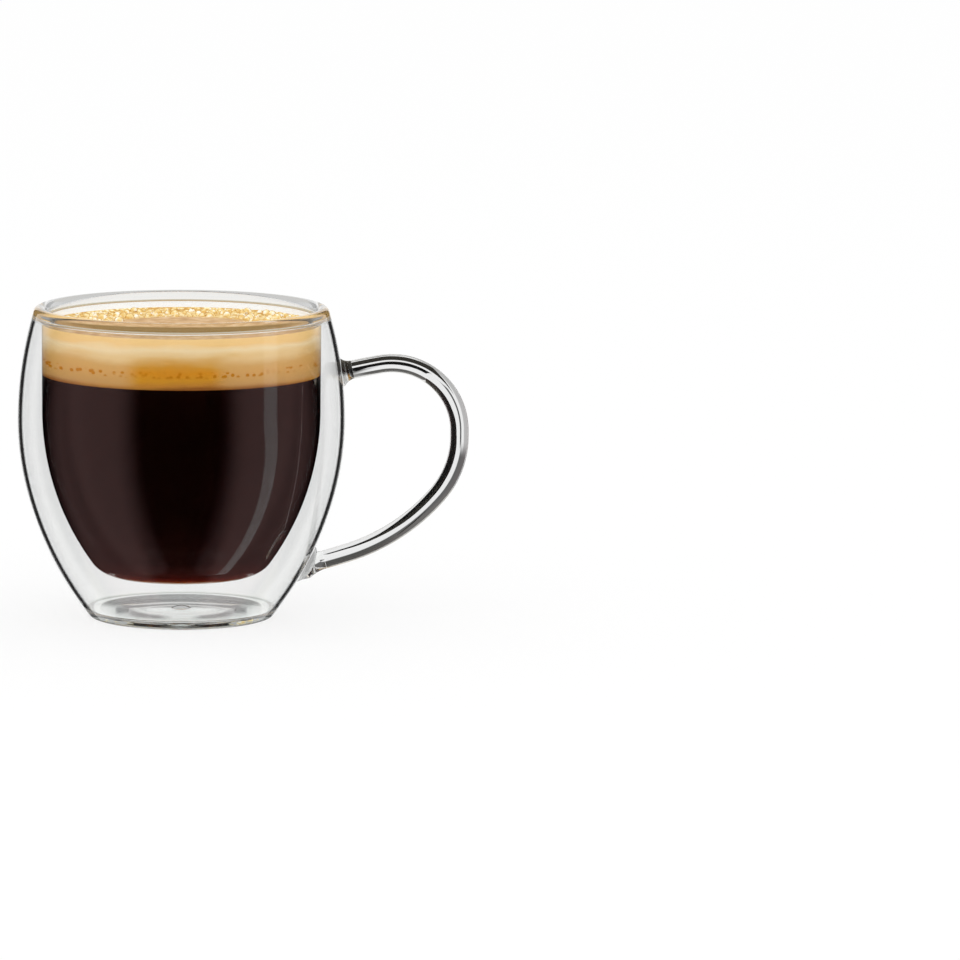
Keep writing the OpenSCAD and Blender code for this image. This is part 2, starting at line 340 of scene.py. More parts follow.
# Arc of the hollow under the base
PUNT_DOME_R = bow_r(PUNT_R, PUNT_DEPTH)
PUNT_C = Vector((0, PUNT_DEPTH - PUNT_DOME_R))
VENT_ROOF_Z = PUNT_C.y + math.sqrt(PUNT_DOME_R**2 - VENT_R**2)


def shell_r(z):
    """Outside radius of the outer wall at a height."""
    if z >= BELLY_Z:
        return arc_x(SHOULDER_C, SHOULDER_R, z)
    if z >= FLANK_END.y:
        return arc_x(FLANK_C, FLANK_R, z)
    return arc_x(FOOT_C, FOOT_CURVE_R, z)


# Centre line of the handle, as arc centres in the x z plane
UPPER_POINT = Vector((shell_r(UPPER_WELD_Z), UPPER_WELD_Z))
LOWER_POINT = Vector((shell_r(LOWER_WELD_Z), LOWER_WELD_Z))
TOP_ANGLE = math.pi / 2 + RISE_ANGLE
SWEEP_END = -LOW_BEND_ANGLE - SWEEP_ANGLE
TO_RISE = (TOP_BEND_R - RISE_R) * polar(TOP_ANGLE)
RISE_X = GRIP_X - TOP_BEND_R + TO_RISE.x
RISE_C = Vector((RISE_X, UPPER_POINT.y - math.sqrt(RISE_R**2 - (UPPER_POINT.x - RISE_X) ** 2)))
TOP_BEND_C = RISE_C - TO_RISE
TO_SWEEP = (LOW_BEND_R - SWEEP_R) * polar(-LOW_BEND_ANGLE)
TO_RUN = (SWEEP_R - RUN_R) * polar(SWEEP_END)
RUN_X = GRIP_X - LOW_BEND_R + TO_SWEEP.x + TO_RUN.x
RUN_C = Vector((RUN_X, LOWER_POINT.y + math.sqrt(RUN_R**2 - (LOWER_POINT.x - RUN_X) ** 2)))
SWEEP_C = RUN_C - TO_RUN
LOW_BEND_C = SWEEP_C - TO_SWEEP
RISE_END = math.acos((UPPER_POINT.x - RISE_C.x) / RISE_R) - UPPER_WELD_LEN / RISE_R
RUN_END = -math.acos((LOWER_POINT.x - RUN_C.x) / RUN_R) + LOWER_WELD_LEN / RUN_R


class Outline:
    """An outline in the x z plane, drawn from a single vertex by extruding and spinning it."""

    def __init__(self, name, x, z):
        deselect()
        bpy.ops.mesh.primitive_plane_add(size=MM)
        self.piece = bpy.context.object
        self.piece.name = self.piece.data.name = name
        edit_mode()
        bpy.ops.mesh.merge(type="CENTER")
        bpy.ops.transform.translate(value=(x, 0, z))
        self.pen = Vector((x, z))

    def line(self, x, z):
        step = (x - self.pen.x, 0, z - self.pen.y)
        bpy.ops.mesh.extrude_vertices_move(TRANSFORM_OT_translate={"value": step})
        self.pen = Vector((x, z))

    def arc(self, centre, to_angle):
        """Follows an arc about centre to an angle there, the short way round."""
        spoke = self.pen - centre
        turn = (to_angle - angle_of(spoke) + math.pi) % TURN - math.pi
        steps = max(2, math.ceil(abs(turn) / (2 * math.acos(1 - SAG / spoke.length))))
        bpy.ops.mesh.spin(steps=steps, angle=turn, center=(centre.x, 0, centre.y), axis=(0, 1, 0))
        self.pen = centre + spoke.length * polar(to_angle)

    def lathe(self, steps=LATHE_STEPS):
        """Closes the outline, spins it round the z axis and returns the piece."""
        bpy.ops.mesh.select_all(action="SELECT")
        bpy.ops.mesh.remove_doubles(threshold=MERGE)
        bpy.ops.mesh.select_all(action="SELECT")
        bpy.ops.mesh.spin(steps=steps, angle=TURN, center=(0, 0, 0), axis=(0, 0, 1))
        bpy.ops.mesh.select_all(action="SELECT")
        bpy.ops.mesh.remove_doubles(threshold=MERGE)
        bpy.ops.mesh.select_all(action="SELECT")
        bpy.ops.mesh.normals_make_consistent(inside=False)
        object_mode()
        return self.piece


def smooth(piece, degrees=35):
    only(piece)
    bpy.ops.object.shade_smooth_by_angle(angle=math.radians(degrees))


def is_fused(face, levels, sides, within):
    """Whether a face meets a neighbour: level at one of the heights, or upright at one of the radii."""
    middle = face.calc_center_median()
    radius = math.hypot(middle.x, middle.y)
    on_level = radius < within and any(near(middle.z, level) for level in levels)
    on_side = abs(face.normal.z) < 0.5 and any(near(radius, side) for side in sides)
    return on_level or on_side


def finish_glass(piece, node, glass, joint, levels=(), sides=(), within=math.inf):
    """Gives a piece its glass, clears the faces where it is fused to its neighbours, and hides the node."""
    smooth(piece)
    piece.data.materials.append(glass)
    piece.data.materials.append(joint)
    edit_mode()
    bpy.ops.mesh.select_all(action="DESELECT")
    mesh = bmesh.from_edit_mesh(piece.data)
    for face in mesh.faces:
        face.select_set(is_fused(face, levels, sides, within))
    bmesh.update_edit_mesh(piece.data)
    piece.active_material_index = 1
    bpy.ops.object.material_slot_assign()
    object_mode()
    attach(piece, "root")
    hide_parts(node)
    return piece


def draw_wall(outline, inset, upward):
    """Follows the outer wall between the heel and the lip joint, drawn in by inset."""
    if upward:
        outline.arc(FOOT_C, -FLANK_TURN)
        outline.arc(FLANK_C, 0)
        outline.arc(SHOULDER_C, math.asin((RIM_Z - BELLY_Z) / (SHOULDER_R - inset)))
    else:
        outline.arc(SHOULDER_C, 0)
        outline.arc(FLANK_C, -FLANK_TURN)
        outline.arc(FOOT_C, math.asin((HEEL_H - FOOT_C.y) / (FOOT_CURVE_R - inset)))


def outer_shell(glass, joint):
    outline = Outline("outer_wall", shell_r(HEEL_H), HEEL_H)
    draw_wall(outline, 0, True)
    outline.line(arc_x(SHOULDER_C, SHOULDER_R - SHELL_WALL, RIM_Z), RIM_Z)
    draw_wall(outline, SHELL_WALL, False)
    outline.line(shell_r(HEEL_H), HEEL_H)
    piece = outline.lathe()
    return finish_glass(piece, "outer_shell", glass, joint, levels=(RIM_Z, HEEL_H))


def draw_bowl(outline, inset, outward):
    """Follows the bowl between its axis and the straight wall, drawn in by inset."""
    floor_z = BOWL_FLOOR_Z + inset
    if outward:
        outline.line(BOWL_CORNER_C.x, floor_z)
        outline.arc(BOWL_CORNER_C, -BOWL_TURN)
        outline.arc(BOWL_CURVE_C, 0)
    else:
        outline.line(BOWL_R - inset, BOWL_CURVE_Z)
        outline.arc(BOWL_CURVE_C, -BOWL_TURN)
        outline.arc(BOWL_CORNER_C, -math.pi / 2)
        outline.line(0, floor_z)


def inner_bowl(glass, joint):
    outline = Outline("inner_wall", 0, BOWL_FLOOR_Z)
    draw_bowl(outline, 0, True)
    outline.line(BOWL_R, RIM_Z)
    outline.line(MOUTH_R, RIM_Z)
    draw_bowl(outline, BOWL_WALL, False)
    piece = outline.lathe()
    return finish_glass(piece, "inner_bowl", glass, joint, levels=(RIM_Z,))


def rim_bead(glass, joint):
    inner_c = Vector((MOUTH_R + LIP_ROUND, BODY_H - LIP_ROUND))
    outer_c = Vector((nested_x(SHOULDER_C, SHOULDER_R, LIP_ROUND, inner_c.y), inner_c.y))
    gap_x = arc_x(SHOULDER_C, SHOULDER_R - SHELL_WALL, RIM_Z)
    gap_c = Vector(((BOWL_R + gap_x) / 2, RIM_Z))
    outline = Outline("lip_bead", MOUTH_R, RIM_Z)
    outline.line(MOUTH_R, inner_c.y)
    outline.arc(inner_c, math.pi / 2)
    outline.line(outer_c.x, BODY_H)
    outline.arc(outer_c, angle_of(outer_c - SHOULDER_C))
    outline.arc(SHOULDER_C, math.asin((RIM_Z - BELLY_Z) / SHOULDER_R))
    outline.line(gap_x, RIM_Z)
    outline.arc(gap_c, math.pi / 2)
    outline.arc(gap_c, math.pi)
    outline.line(MOUTH_R, RIM_Z)
    piece = outline.lathe()
    return finish_glass(piece, "rim_bead", glass, joint, levels=(RIM_Z,))


def heel_bead(glass, joint):
    edge_c = Vector((nested_x(FOOT_C, FOOT_CURVE_R, HEEL_ROUND, HEEL_ROUND), HEEL_ROUND))
    fillet_z = BASE_T + HEEL_FILLET
    inside_r = FOOT_CURVE_R - SHELL_WALL
    fillet_c = Vector((nested_x(FOOT_C, inside_r, HEEL_FILLET, fillet_z), fillet_z))
    outline = Outline("heel_bead_glass", BASE_DISC_R, 0)
    outline.line(edge_c.x, 0)
    outline.arc(edge_c, angle_of(edge_c - FOOT_C))
    outline.arc(FOOT_C, math.asin((HEEL_H - FOOT_C.y) / FOOT_CURVE_R))
    outline.line(arc_x(FOOT_C, inside_r, HEEL_H), HEEL_H)
    outline.arc(FOOT_C, angle_of(fillet_c - FOOT_C))
    outline.arc(fillet_c, -math.pi / 2)
    outline.line(BASE_DISC_R, BASE_T)
    outline.line(BASE_DISC_R, 0)
    piece = outline.lathe()
    return finish_glass(
        piece, "heel_bead", glass, joint, levels=(HEEL_H,), sides=(BASE_DISC_R,)
    )


def base_disc(glass, joint):
    outline = Outline("base_plate", PUNT_R, 0)
    outline.line(BASE_DISC_R, 0)
    outline.line(BASE_DISC_R, BASE_T)
    outline.line(BUTTON_R, BASE_T)
    outline.line(VENT_R, BASE_T)
    outline.line(VENT_R, VENT_ROOF_Z)
    outline.arc(PUNT_C, math.atan2(-PUNT_C.y, PUNT_R))
    piece = outline.lathe()
    sides = (BASE_DISC_R, VENT_R)
    return finish_glass(piece, "base_disc", glass, joint, (BASE_T,), sides, BUTTON_R)


def vent_seal(glass, joint):
    tip_c = Vector((0, VENT_TIP_Z + bow_r(VENT_R, VENT_TIP_H)))
    button_c = Vector((0, VENT_TOP_Z - bow_r(BUTTON_R, VENT_TOP_Z - BASE_T)))
    outline = Outline("vent_plug", 0, VENT_TIP_Z)
    outline.arc(tip_c, angle_of(Vector((VENT_R, VENT_ROOF_Z)) - tip_c))
    outline.line(VENT_R, BASE_T)
    outline.line(BUTTON_R, BASE_T)
    outline.arc(button_c, math.pi / 2)
    piece = outline.lathe()
    return finish_glass(piece, "vent_seal", glass, joint, (BASE_T,), (VENT_R,), BUTTON_R)


def follow_bend(centre, radius, turn):
    """Draws the selected ring of the rod along a bend."""
    steps = max(3, math.ceil(abs(turn) * radius / ROD_STEP))
    bpy.ops.mesh.spin(steps=steps, angle=turn, center=(centre.x, 0, centre.y), axis=(0, 1, 0))


def handle_rod(glass, joint):
    """A ring at the upper weld, spun round the centre of each bend in turn down to the lower weld."""
    start = RISE_C + RISE_R * polar(RISE_END)
    deselect()
    bpy.ops.mesh.primitive_circle_add(
        vertices=ROD_SIDES,
        radius=ROD_R,
        location=(start.x, 0, start.y),
        rotation=(0, math.pi - RISE_END, 0),
    )
    piece = bpy.context.object
    piece.name = piece.data.name = "handle_bar"
    bpy.ops.object.transform_apply(location=True, rotation=True, scale=True)
    edit_mode()
    follow_bend(RISE_C, RISE_R, TOP_ANGLE - RISE_END)
    follow_bend(TOP_BEND_C, TOP_BEND_R, -TOP_ANGLE)
    drop = (0, 0, LOW_BEND_C.y - TOP_BEND_C.y)
    bpy.ops.mesh.extrude_region_move(TRANSFORM_OT_translate={"value": drop})
    follow_bend(LOW_BEND_C, LOW_BEND_R, -LOW_BEND_ANGLE)
    follow_bend(SWEEP_C, SWEEP_R, -SWEEP_ANGLE)
    follow_bend(RUN_C, RUN_R, RUN_END - SWEEP_END)
    bpy.ops.mesh.select_all(action="SELECT")
    bpy.ops.mesh.remove_doubles(threshold=MERGE)
    bpy.ops.mesh.select_all(action="DESELECT")
    bpy.ops.mesh.select_mode(type="EDGE")
    bpy.ops.mesh.select_non_manifold()
    bpy.ops.mesh.edge_face_add()
    bpy.ops.mesh.select_mode(type="VERT")
    bpy.ops.mesh.select_all(action="SELECT")
    bpy.ops.mesh.normals_make_consistent(inside=False)
    object_mode()
    return finish_glass(piece, "handle_rod", glass, joint)


def boolean(piece, tool, operation):
    """Cuts or joins a piece with a tool, which is then removed."""
    only(piece)
    cut = piece.modifiers.new("cut", "BOOLEAN")
    cut.operation = operation
    cut.solver = "EXACT"
    cut.object = tool
    bpy.ops.object.modifier_apply(modifier=cut.name)
    only(tool)
    bpy.ops.object.delete()


def wall_blank(inset):
    """All that lies inside the outer wall, as a solid to cut the welds with."""
    outline = Outline("wall_blank", 0, HEEL_H)
    outline.line(arc_x(FOOT_C, FOOT_CURVE_R - inset, HEEL_H), HEEL_H)
    draw_wall(outline, inset, True)
    outline.line(0, RIM_Z)
    return outline.lathe()


def flare(name, foot_r, length, end, slope):
    """A weld's flare from the end of the rod towards the wall, along the rod's slope."""
    hollow_c = Vector((ROD_R + bow_r(length, foot_r - ROD_R), 0))
    reach = length + foot_r
    outline = Outline(name, 0, 0)
    outline.line(ROD_R, 0)
    outline.arc(hollow_c, angle_of(Vector((foot_r, -length)) - hollow_c))
    outline.line(foot_r, -reach)
    outline.line(0, -reach)
    piece = outline.lathe(steps=ROD_SIDES)
    piece.location = (end.x, 0, end.y)
    piece.rotation_euler = (0, math.pi / 2 - slope, 0)
    only(piece)
    bpy.ops.object.transform_apply(location=True, rotation=True, scale=True)
    return piece


def upper_weld(glass, joint):
    end = RISE_C + RISE_R * polar(RISE_END)
    piece = flare("upper_weld_glass", UPPER_WELD_R, UPPER_WELD_LEN, end, RISE_END - math.pi / 2)
    boolean(piece, wall_blank(WELD_SINK), "DIFFERENCE")
    return finish_glass(piece, "handle_upper_weld", glass, joint)


def lower_weld(glass, joint):
    """A flare joined to a pad, which is the part of a ball that stands out of the wall."""
    end = RUN_C + RUN_R * polar(RUN_END)
    piece = flare("lower_weld_glass", LOWER_FLARE_R, LOWER_WELD_LEN, end, RUN_END + math.pi / 2)
    ball_r = bow_r(PAD_R, PAD_H)
    wall_out = (LOWER_POINT - FOOT_C).normalized()
    pad_c = LOWER_POINT - (ball_r - PAD_H) * wall_out
    deselect()
    bpy.ops.mesh.primitive_uv_sphere_add(
        segments=64, ring_count=32, radius=ball_r, location=(pad_c.x, 0, pad_c.y)
    )
    ball = bpy.context.object
    boolean(piece, ball, "UNION")
    boolean(piece, wall_blank(WELD_SINK), "DIFFERENCE")
    return finish_glass(piece, "handle_lower_weld", glass, joint)


def coffee(liquid):
    outline = Outline("coffee", 0, BOWL_FLOOR_Z + BOWL_WALL - WETTING)
    draw_bowl(outline, BOWL_WALL - WETTING, True)
    outline.line(MOUTH_R + WETTING, COFFEE_Z)
    outline.line(0, COFFEE_Z)
    piece = outline.lathe()
    smooth(piece)
    piece.data.materials.append(liquid)
    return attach(piece, "root")


def crema(foam):
    edge_r = MOUTH_R + WETTING
    outline = Outline("crema", 0, COFFEE_Z)
    outline.line(edge_r, COFFEE_Z)
    outline.line(edge_r, CREMA_Z + CREMA_CLIMB)
    climb_c = Vector((edge_r - CLIMB_W, CREMA_Z + bow_r(CLIMB_W, CREMA_CLIMB)))
    outline.arc(climb_c, -math.pi / 2)
    outline.line(0, CREMA_Z)
    piece = outline.lathe()
    smooth(piece)
    piece.data.materials.append(foam)
    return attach(piece, "root")


def bubbles(film):
    """One dome, copied over the far part of the crema with many sizes, dense towards the wall."""
    deselect()
    bpy.ops.mesh.primitive_uv_sphere_add(segments=12, ring_count=6, radius=1)
    piece = bpy.context.object
    piece.name = piece.data.name = "crema_bubbles"
    edit_mode()
    bpy.ops.mesh.select_all(action="SELECT")
    bpy.ops.mesh.bisect(plane_co=(0, 0, -0.1), plane_no=(0, 0, 1), clear_inner=True, use_fill=True)
    bpy.ops.mesh.select_all(action="SELECT")
    chance = random.Random(BUBBLE_SEED)
    for _ in range(BUBBLES):
        size = BUBBLE_R[0] + (BUBBLE_R[1] - BUBBLE_R[0]) * chance.random() ** BUBBLE_SMALLNESS
        inward = BUBBLE_BAND * chance.random() ** BUBBLE_CROWDING
        radius = MOUTH_R - BUBBLE_EDGE - size - inward
        angle = chance.uniform(*BUBBLE_ARC)
        climb = max(0, 1 - (MOUTH_R - radius) / CLIMB_W) ** 2 * CREMA_CLIMB
        spot = (radius * math.cos(angle), radius * math.sin(angle), CREMA_Z + climb)
        bpy.ops.mesh.duplicate()
        bpy.ops.transform.resize(value=(size, size, size), center_override=(0, 0, 0))
        bpy.ops.transform.translate(value=spot)
        bpy.ops.mesh.hide()
        bpy.ops.mesh.select_all(action="SELECT")
    bpy.ops.mesh.delete(type="VERT")
    bpy.ops.mesh.reveal()
    bpy.ops.mesh.normals_make_consistent(inside=False)
    object_mode()
    smooth(piece, 60)
    piece.data.materials.append(film)
    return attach(piece, "root")


class Nodes:
    """Adds nodes to a material's or the world's tree and links them."""

    def __init__(self, owner):
        owner.use_nodes = True
        self.tree = owner.node_tree
        self.tree.nodes.clear()

    def add(self, kind, inputs=None, **settings):
        made = self.tree.nodes.new(kind)
        for name, value in settings.items():
            setattr(made, name, value)
        for name, value in (inputs or {}).items():
            self.set(made.inputs[name], value)
        return made

    def set(self, socket, value):
        if isinstance(value, bpy.types.NodeSocket):
            self.tree.links.new(value, socket)
        else:
            socket.default_value = value

    def place(self):
        """The point that is shaded, in the piece's own coordinates."""
        return self.add("ShaderNodeTexCoord").outputs["Object"]

    def path(self):
        """What the light has met on its way."""
        return self.add("ShaderNodeLightPath").outputs

    def parts(self, vector):
        """The x, y and z of a vector."""
        return self.add("ShaderNodeSeparateXYZ", {"Vector": vector}).outputs

    def noise(self, vector, scale, detail):
        made = self.add("ShaderNodeTexNoise", {"Vector": vector, "Scale": scale, "Detail": detail})
        return made.outputs["Fac"]

    def cells(self, vector, scale, dimensions="3D"):
        """Distance from the nearest of many scattered points."""
        made = self.add(
            "ShaderNodeTexVoronoi", {"Vector": vector, "Scale": scale}, voronoi_dimensions=dimensions
        )
        return made.outputs["Distance"]

    def bump(self, height, strength, distance):
        made = self.add("ShaderNodeBump", {"Height": height, "Strength": strength, "Distance": distance})
        return made.outputs["Normal"]

    def math(self, operation, a, b=0.0, c=0.0, use_clamp=False):
        made = self.add("ShaderNodeMath", {0: a, 1: b, 2: c}, operation=operation, use_clamp=use_clamp)
        return made.outputs[0]

    def both(self, a, b):
        return self.math("MULTIPLY", a, b)

    def rest(self, share):
        return self.math("SUBTRACT", 1.0, share)

    def over(self, value, limit):
        return self.math("GREATER_THAN", value, limit)

    def under(self, value, limit):
        return self.math("LESS_THAN", value, limit)

    def step(self, value, edge, soft):
        """0 below an edge and 1 above it, with a soft change."""
        made = self.add(
            "ShaderNodeMapRange",
            {"Value": value, "From Min": edge - soft / 2, "From Max": edge + soft / 2},
            interpolation_type="SMOOTHSTEP",
        )
        return made.outputs["Result"]

    def between(self, value, low, high, soft):
        """1 where a value lies between low and high, with soft edges."""
        return self.math("SUBTRACT", self.step(value, low, soft), self.step(value, high, soft))

    def mix(self, factor, a, b):
        made = self.add("ShaderNodeMix", data_type="RGBA")
        self.set(made.inputs["Factor"], factor)
        self.set(made.inputs[6], a)
        self.set(made.inputs[7], b)
        return made.outputs[2]

    def ramp(self, value, stops):
        made = self.add("ShaderNodeValToRGB", {"Fac": value})
        while len(made.color_ramp.elements) < len(stops):
            made.color_ramp.elements.new(0.5)
        for element, (place, colour) in zip(made.color_ramp.elements, stops):
            element.position = place
            element.color = (*colour, 1)
        return made.outputs["Color"]

    def height_share(self, place, low, high):
        """How far a point's height lies between low and high, from 0 to 1."""
        height = self.parts(place)["Z"]
        made = self.add("ShaderNodeMapRange", {"Value": height, "From Min": low, "From Max": high})
        return made.outputs["Result"]

    def radius(self, place):
        """Distance of a point from the cup's axis."""
        level = self.add("ShaderNodeVectorMath", {0: place, 1: (1, 1, 0)}, operation="MULTIPLY")
        made = self.add("ShaderNodeVectorMath", {0: level.outputs["Vector"]}, operation="LENGTH")
        return made.outputs["Value"]

    def untrapped(self):
        """1 until light has gone to and fro in the glass so often that it is let out straight."""
        return self.under(self.path()["Ray Depth"], TRAPPED)

    def principled(self, inputs):
        """Ends a material with a Principled shader."""
        shader = self.add("ShaderNodeBsdfPrincipled", inputs)
        self.add("ShaderNodeOutputMaterial", {"Surface": shader.outputs["BSDF"]})


def linear(value):
    """A screen's brightness, from 0 to 255, as the linear value that the shaders take."""
    value = value / 255
    return value / 12.92 if value <= 0.04045 else ((value + 0.055) / 1.055) ** 2.4


def srgb(red, green, blue):
    """A colour given as on a screen, as the linear colour that the shaders take."""
    return (linear(red), linear(green), linear(blue))


def solid_srgb(red, green, blue):
    return (*srgb(red, green, blue), 1)


def grey(value):
    return (value, value, value, 1)


def brown(value):
    """A dim brown card's brightness as a colour."""
    return (value, 0.58 * value, 0.56 * value, 1)


def glass_grey(value):
    """A grey with the slight green of thick glass."""
    return (value, value + 0.03, value + 0.01)


def new_material(name):
    material = bpy.data.materials.new(name)
    return material, Nodes(material)


def glass_material(name, tint, wave_scale, wave_height, ior=GLASS_IOR):
    """Clear glass with slight waves; tint is a colour, or a function that adds nodes for one, and some of
    these paint shade into the glass.
    """
    material, nodes = new_material(name)
    place = nodes.place()
    waves = nodes.noise(place, wave_scale, 1.0)
    nodes.principled(
        {
            "Base Color": tint(nodes, place) if callable(tint) else (*tint, 1),
            "Roughness": 0.0,
            "IOR": ior,
            "Transmission Weight": 1.0,
            "Alpha": nodes.untrapped(),
            "Normal": nodes.bump(waves, 1.0, wave_height),
        }
    )
    return material


def heel_tint_and_shade(nodes, place):
    """Grey green low down, where the glass is thick, with a darker ring of painted shade, and clear above."""
    share = nodes.height_share(place, 0, HEEL_H)
    stops = ((0.14, HEEL_GREY), (0.22, HEEL_SHADE_RING), (0.38, HEEL_SHADE_RING), (0.46, HEEL_GREY), (0.62, WORKED_CLEAR))
    return nodes.ramp(share, stops)


def weld_painted_shade(nodes, place):
    """Painted shade: near black in the weld's upper part, standing in for the studio's dark side seen through
    it, and clear below.
    """
    return nodes.ramp(nodes.height_share(place, *WELD_SHADE_Z), ((0.0, WORKED_CLEAR), (1.0, WELD_SHADE)))


def base_painted_shade(nodes, place):
    """1 in the base's painted shade: two spots, painted reflections of the coffee, two streaks of painted
    shade along the hollow, and a crescent of painted shade at the back.
    """
    parts = nodes.parts(place)
    across = nodes.math("ABSOLUTE", parts["X"])
    spots = nodes.both(nodes.between(across, *SPOT_X), nodes.between(parts["Y"], *SPOT_Y))
    front = nodes.under(parts["Y"], 0.0)
    ring = nodes.both(nodes.between(nodes.radius(place), *STREAK_R), front)
    streaks = nodes.both(nodes.between(across, *STREAK_X), ring)
    moved = nodes.add("ShaderNodeVectorMath", {0: place, 1: (0, CRESCENT_AHEAD, 0)}, operation="ADD")
    crescent = nodes.step(nodes.radius(moved.outputs["Vector"]), *CRESCENT_R)
    return nodes.math("MAXIMUM", nodes.math("MAXIMUM", spots, streaks), crescent)


def base_tint_and_shade(nodes, place):
    """Grey green, partly the tint of thick glass and partly painted shade, with darker rings of painted shade
    at the edge of the hollow and inside it, and the painted shade and painted reflections of the base.
    """
    share = nodes.math("DIVIDE", nodes.radius(place), BASE_DISC_R)
    rings = nodes.ramp(share, [(stop, glass_grey(value)) for stop, value in BASE_RINGS])
    return nodes.mix(base_painted_shade(nodes, place), rings, BASE_SHADE_GREY)


def joint_material():
    """The face where two pieces are fused, which no light sees."""
    material, nodes = new_material("fused_joint")
    nodes.principled({"Base Color": (1, 1, 1, 1), "Alpha": 0.0})
    return material


def coffee_material():
    """Near black coffee that turns red brown where it is thin, low down in the bowl."""
    material, nodes = new_material("coffee_liquid")
    colour = nodes.ramp(
        nodes.height_share(nodes.place(), BOWL_FLOOR_Z + BOWL_WALL, COFFEE_Z),
        (
            (0.0, srgb(200, 124, 44)),
            (0.005, srgb(150, 70, 34)),
            (0.012, srgb(104, 36, 28)),
            (0.03, srgb(64, 22, 18)),
            (0.1, srgb(38, 12, 10)),
            (0.3, srgb(26, 7, 6)),
            (0.6, srgb(22, 5, 4)),
        ),
    )
    nodes.principled(
        {
            "Base Color": colour,
            "Roughness": 0.3,
            "Specular IOR Level": 0.0,
            "Alpha": nodes.untrapped(),
        }
    )
    return material


def crema_dots(nodes, place, share, clouds):
    """1 in the small bubbles that show in a row in the foam's side."""
    parts = nodes.parts(place)
    sheet = nodes.add("ShaderNodeCombineXYZ", {"X": parts["X"], "Y": parts["Z"]}).outputs["Vector"]
    dots = nodes.rest(nodes.step(nodes.cells(sheet, DOT_CELLS, "2D"), 0.3, 0.2))
    row = nodes.both(nodes.between(share, *DOT_ROW), nodes.step(clouds, 0.4, 0.2))
    return nodes.both(dots, row)


def crema_side(nodes, place, clouds):
    """The foam's side: cream above orange, with a row of dots, and paler to the left and right."""
    share = nodes.height_share(place, COFFEE_Z, CREMA_Z)
    drift = nodes.math("MULTIPLY_ADD", nodes.math("SUBTRACT", clouds, 0.5), CLOUD_DRIFT, share)
    deep = nodes.ramp(
        drift,
        (
            (0.0, srgb(180, 116, 48)),
            (0.08, srgb(220, 160, 66)),
            (0.2, srgb(234, 176, 52)),
            (0.34, srgb(234, 168, 40)),
            (0.48, srgb(226, 172, 66)),
            (0.58, srgb(230, 192, 118)),
            (0.7, srgb(244, 222, 172)),
            (0.84, srgb(252, 238, 204)),
            (0.96, srgb(249, 216, 154)),
        ),
    )
    pale_stops = ((0.1, srgb(232, 196, 134)), (0.5, srgb(232, 200, 140)), (0.66, srgb(246, 226, 180)))
    pale = nodes.ramp(drift, pale_stops)
    middle = nodes.between(nodes.parts(place)["X"], *MIDDLE_X)
    low = nodes.between(share, *LOW_PART)
    off_middle = nodes.math("MULTIPLY_ADD", middle, -SIDE_PALENESS, SIDE_PALENESS)
    aside = nodes.both(off_middle, low)
    layers = nodes.mix(aside, deep, pale)
    return nodes.mix(crema_dots(nodes, place, share, clouds), layers, solid_srgb(*DOT_ORANGE))


def crema_top(nodes, place, spots):
    """The foam's top: tan, with golden froth towards the far wall."""
    tan_stops = ((0.3, srgb(184, 142, 94)), (0.5, srgb(206, 166, 116)), (0.7, srgb(224, 192, 150)))
    froth_stops = ((0.1, srgb(255, 248, 214)), (0.4, srgb(240, 214, 144)), (0.7, srgb(206, 158, 80)))
    tan = nodes.ramp(spots, tan_stops)
    froth = nodes.ramp(nodes.cells(place, FROTH_CELLS), froth_stops)
    far = nodes.step(nodes.parts(place)["Y"], *FROTH_Y)
    outer = nodes.step(nodes.radius(place), *FROTH_R)
    return nodes.mix(nodes.both(outer, far), tan, froth)


def lip_olive_painted_shade(nodes, place):
    """1 where the foam is painted olive shade for light through the lip alone, further out towards the sides.
    """
    through = nodes.path()["Transmission Depth"]
    by_lip = nodes.both(nodes.over(through, THROUGH_ANY), nodes.under(through, THROUGH_SOLID))
    across = nodes.math("ABSOLUTE", nodes.parts(place)["X"])
    spread = nodes.math("POWER", nodes.math("DIVIDE", across, OLIVE_SIDE), OLIVE_POWER)
    limit = nodes.math("MULTIPLY_ADD", spread, OLIVE_SPREAD, OLIVE_R)
    past = nodes.math("SUBTRACT", nodes.radius(place), limit)
    return nodes.both(by_lip, nodes.rest(nodes.step(past, 0.0, OLIVE_SOFT)))


def crema_material():
    """Layered foam; what the lip shows of it is painted a dark olive shade, as light from low down reaches
    the lip.
    """
    material, nodes = new_material("crema_foam")
    place = nodes.place()
    flat = nodes.add("ShaderNodeMapping", {"Vector": place, "Scale": (1, 1, 4)}).outputs["Vector"]
    clouds = nodes.noise(flat, CLOUDS, 4.0)
    spots = nodes.noise(place, SPOTS, 6.0)
    facing = nodes.add("ShaderNodeNewGeometry").outputs["Normal"]
    upward = nodes.step(nodes.parts(facing)["Z"], 0.5, 0.2)
    colour = nodes.mix(upward, crema_side(nodes, place, clouds), crema_top(nodes, place, spots))
    nodes.principled(
        {
            "Base Color": nodes.mix(lip_olive_painted_shade(nodes, place), colour, solid_srgb(*LIP_OLIVE_SHADE)),
            "Roughness": 0.6,
            "Specular IOR Level": 0.2,
            "Alpha": nodes.untrapped(),
            "Normal": nodes.bump(spots, 0.6, 0.3 * MM),
        }
    )
    return material


